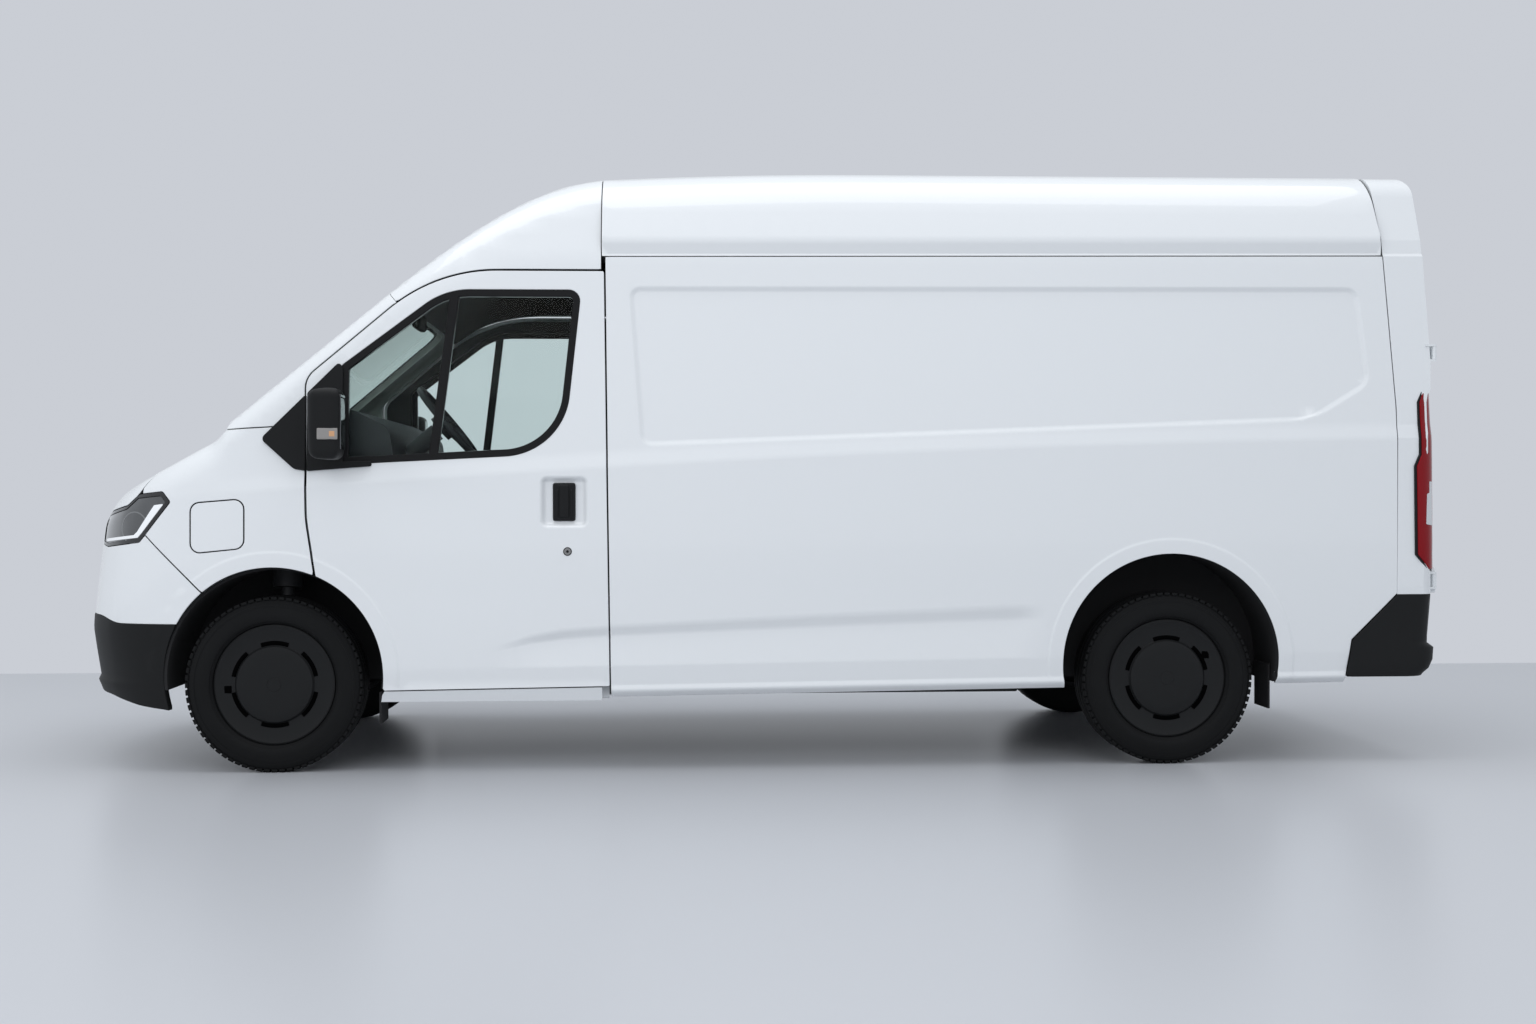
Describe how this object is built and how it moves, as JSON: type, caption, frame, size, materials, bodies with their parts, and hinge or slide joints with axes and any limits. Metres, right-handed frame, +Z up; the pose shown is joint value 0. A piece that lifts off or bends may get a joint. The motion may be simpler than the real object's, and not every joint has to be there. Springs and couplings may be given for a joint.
{
  "type": "panel van",
  "caption": "Mid-size battery-electric panel van: hollow cab with hinged doors, hollow load space with rear doors and a sliding side door, steered front wheels.",
  "frame": {"origin": "on the road, half way along the body and on its centreline", "axes": "+X from the nose to the tail, +Y to the right side of the van, +Z up"},
  "size_m": [5.6443, 2.49, 2.469],
  "materials": {
    "white_paint": "gloss",
    "black_plastic": "textured",
    "cover_plastic": "satin",
    "window_glass": "clear",
    "lamp_red": "gloss",
    "lamp_clear": "gloss",
    "tyre_rubber": "matte",
    "chassis_black": "satin",
    "grey_metal": "cast",
    "floor_grey": "satin",
    "cabin_plastic": "grained",
    "seat_cloth": "woven"
  },
  "bodies": {
    "root": {"arch_liners": "black_plastic", "battery_pack": "grey_metal", "bulkhead": "floor_grey", "chassis_rails": "chassis_black", "dashboard": "cabin_plastic", "drive_unit": "grey_metal", "floor": "floor_grey", "front_bumper": "black_plastic", "front_suspension": "chassis_black", "headlamps": "lamp_clear", "mirror_feet": "black_plastic", "nose_panel": "white_paint", "rear_axle": "chassis_black", "rear_bumper": "black_plastic", "rear_frame": "white_paint", "roof_front": "white_paint", "roof_panel": "white_paint", "scuttle": "black_plastic", "seat_bases": "chassis_black", "seats": "seat_cloth", "side_panel_left": "white_paint", "side_panel_right": "white_paint", "sills": "white_paint", "sliding_door": "white_paint", "tail_lamps": "lamp_red", "windscreen": "window_glass", "windscreen_frame": "white_paint", "wings": "white_paint"},
    "left_door": {"door_panel_left": "white_paint", "window_frame_left": "black_plastic", "door_glass_left": "window_glass", "mirror_left": "black_plastic"},
    "right_door": {"door_panel_right": "white_paint", "window_frame_right": "black_plastic", "door_glass_right": "window_glass", "mirror_right": "black_plastic"},
    "left_rear_door": {"rear_door_left": "white_paint"},
    "right_rear_door": {"rear_door_right": "white_paint"},
    "bonnet": {"bonnet": "white_paint"},
    "charge_flap": {"charge_flap": "white_paint"},
    "steering": {"steering_wheel": "cabin_plastic"},
    "left_knuckle": {"knuckle_left": "chassis_black"},
    "right_knuckle": {"knuckle_right": "chassis_black"},
    "front_left_wheel": {"front_wheel_left": "cover_plastic", "front_tyre_left": "tyre_rubber"},
    "front_right_wheel": {"front_wheel_right": "cover_plastic", "front_tyre_right": "tyre_rubber"},
    "rear_left_wheel": {"rear_wheel_left": "cover_plastic", "rear_tyre_left": "tyre_rubber"},
    "rear_right_wheel": {"rear_wheel_right": "cover_plastic", "rear_tyre_right": "tyre_rubber"}
  },
  "joints": [
    {"name": "left_door_hinge", "type": "hinge", "parent": "root", "child": "left_door", "pos_m": [-1.696, -0.984, 0.976], "axis": [0, 0, -1], "range_deg": [0, 65]},
    {"name": "right_door_hinge", "type": "hinge", "parent": "root", "child": "right_door", "pos_m": [-1.696, 0.984, 0.976], "axis": [0, 0, 1], "range_deg": [0, 65]},
    {"name": "left_rear_door_hinge", "type": "hinge", "parent": "root", "child": "left_rear_door", "pos_m": [2.808, -0.962, 1.2], "axis": [0, 0, -1], "range_deg": [0, 180]},
    {"name": "right_rear_door_hinge", "type": "hinge", "parent": "root", "child": "right_rear_door", "pos_m": [2.808, 0.962, 1.2], "axis": [0, 0, 1], "range_deg": [0, 180]},
    {"name": "bonnet_hinge", "type": "hinge", "parent": "root", "child": "bonnet", "pos_m": [-2.15, 0, 1.345], "axis": [0, 1, 0], "range_deg": [0, 50]},
    {"name": "charge_flap_hinge", "type": "hinge", "parent": "root", "child": "charge_flap", "pos_m": [-2.2445, -0.97274, 0.98], "axis": [0, 0, -1], "range_deg": [0, 90]},
    {"name": "left_steer", "type": "hinge", "parent": "root", "child": "left_knuckle", "pos_m": [-1.905, -0.85, 0], "axis": [0, 0.2079, 0.9781], "range_deg": [-35, 35]},
    {"name": "right_steer", "type": "hinge", "parent": "root", "child": "right_knuckle", "pos_m": [-1.905, 0.85, 0], "axis": [0, -0.2079, 0.9781], "range_deg": [-35, 35]},
    {"name": "steering_wheel_turn", "type": "hinge", "parent": "root", "child": "steering", "pos_m": [-1.281, -0.43, 1.415], "axis": [0.7716, 0, 0.6361], "range_deg": [-510, 510]},
    {"name": "front_left_spin", "type": "hinge", "parent": "left_knuckle", "child": "front_left_wheel", "pos_m": [-1.905, -0.8675, 0.35], "axis": [0, 1, 0], "continuous": true},
    {"name": "front_right_spin", "type": "hinge", "parent": "right_knuckle", "child": "front_right_wheel", "pos_m": [-1.905, 0.8675, 0.35], "axis": [0, 1, 0], "continuous": true},
    {"name": "rear_left_spin", "type": "hinge", "parent": "root", "child": "rear_left_wheel", "pos_m": [1.695, -0.8675, 0.35], "axis": [0, 1, 0], "continuous": true},
    {"name": "rear_right_spin", "type": "hinge", "parent": "root", "child": "rear_right_wheel", "pos_m": [1.695, 0.8675, 0.35], "axis": [0, 1, 0], "continuous": true}
  ],
  "couplings": [
    {"joint": "right_steer", "follows": "left_steer", "ratio": 1},
    {"joint": "steering_wheel_turn", "follows": "left_steer", "ratio": 14.5}
  ]
}
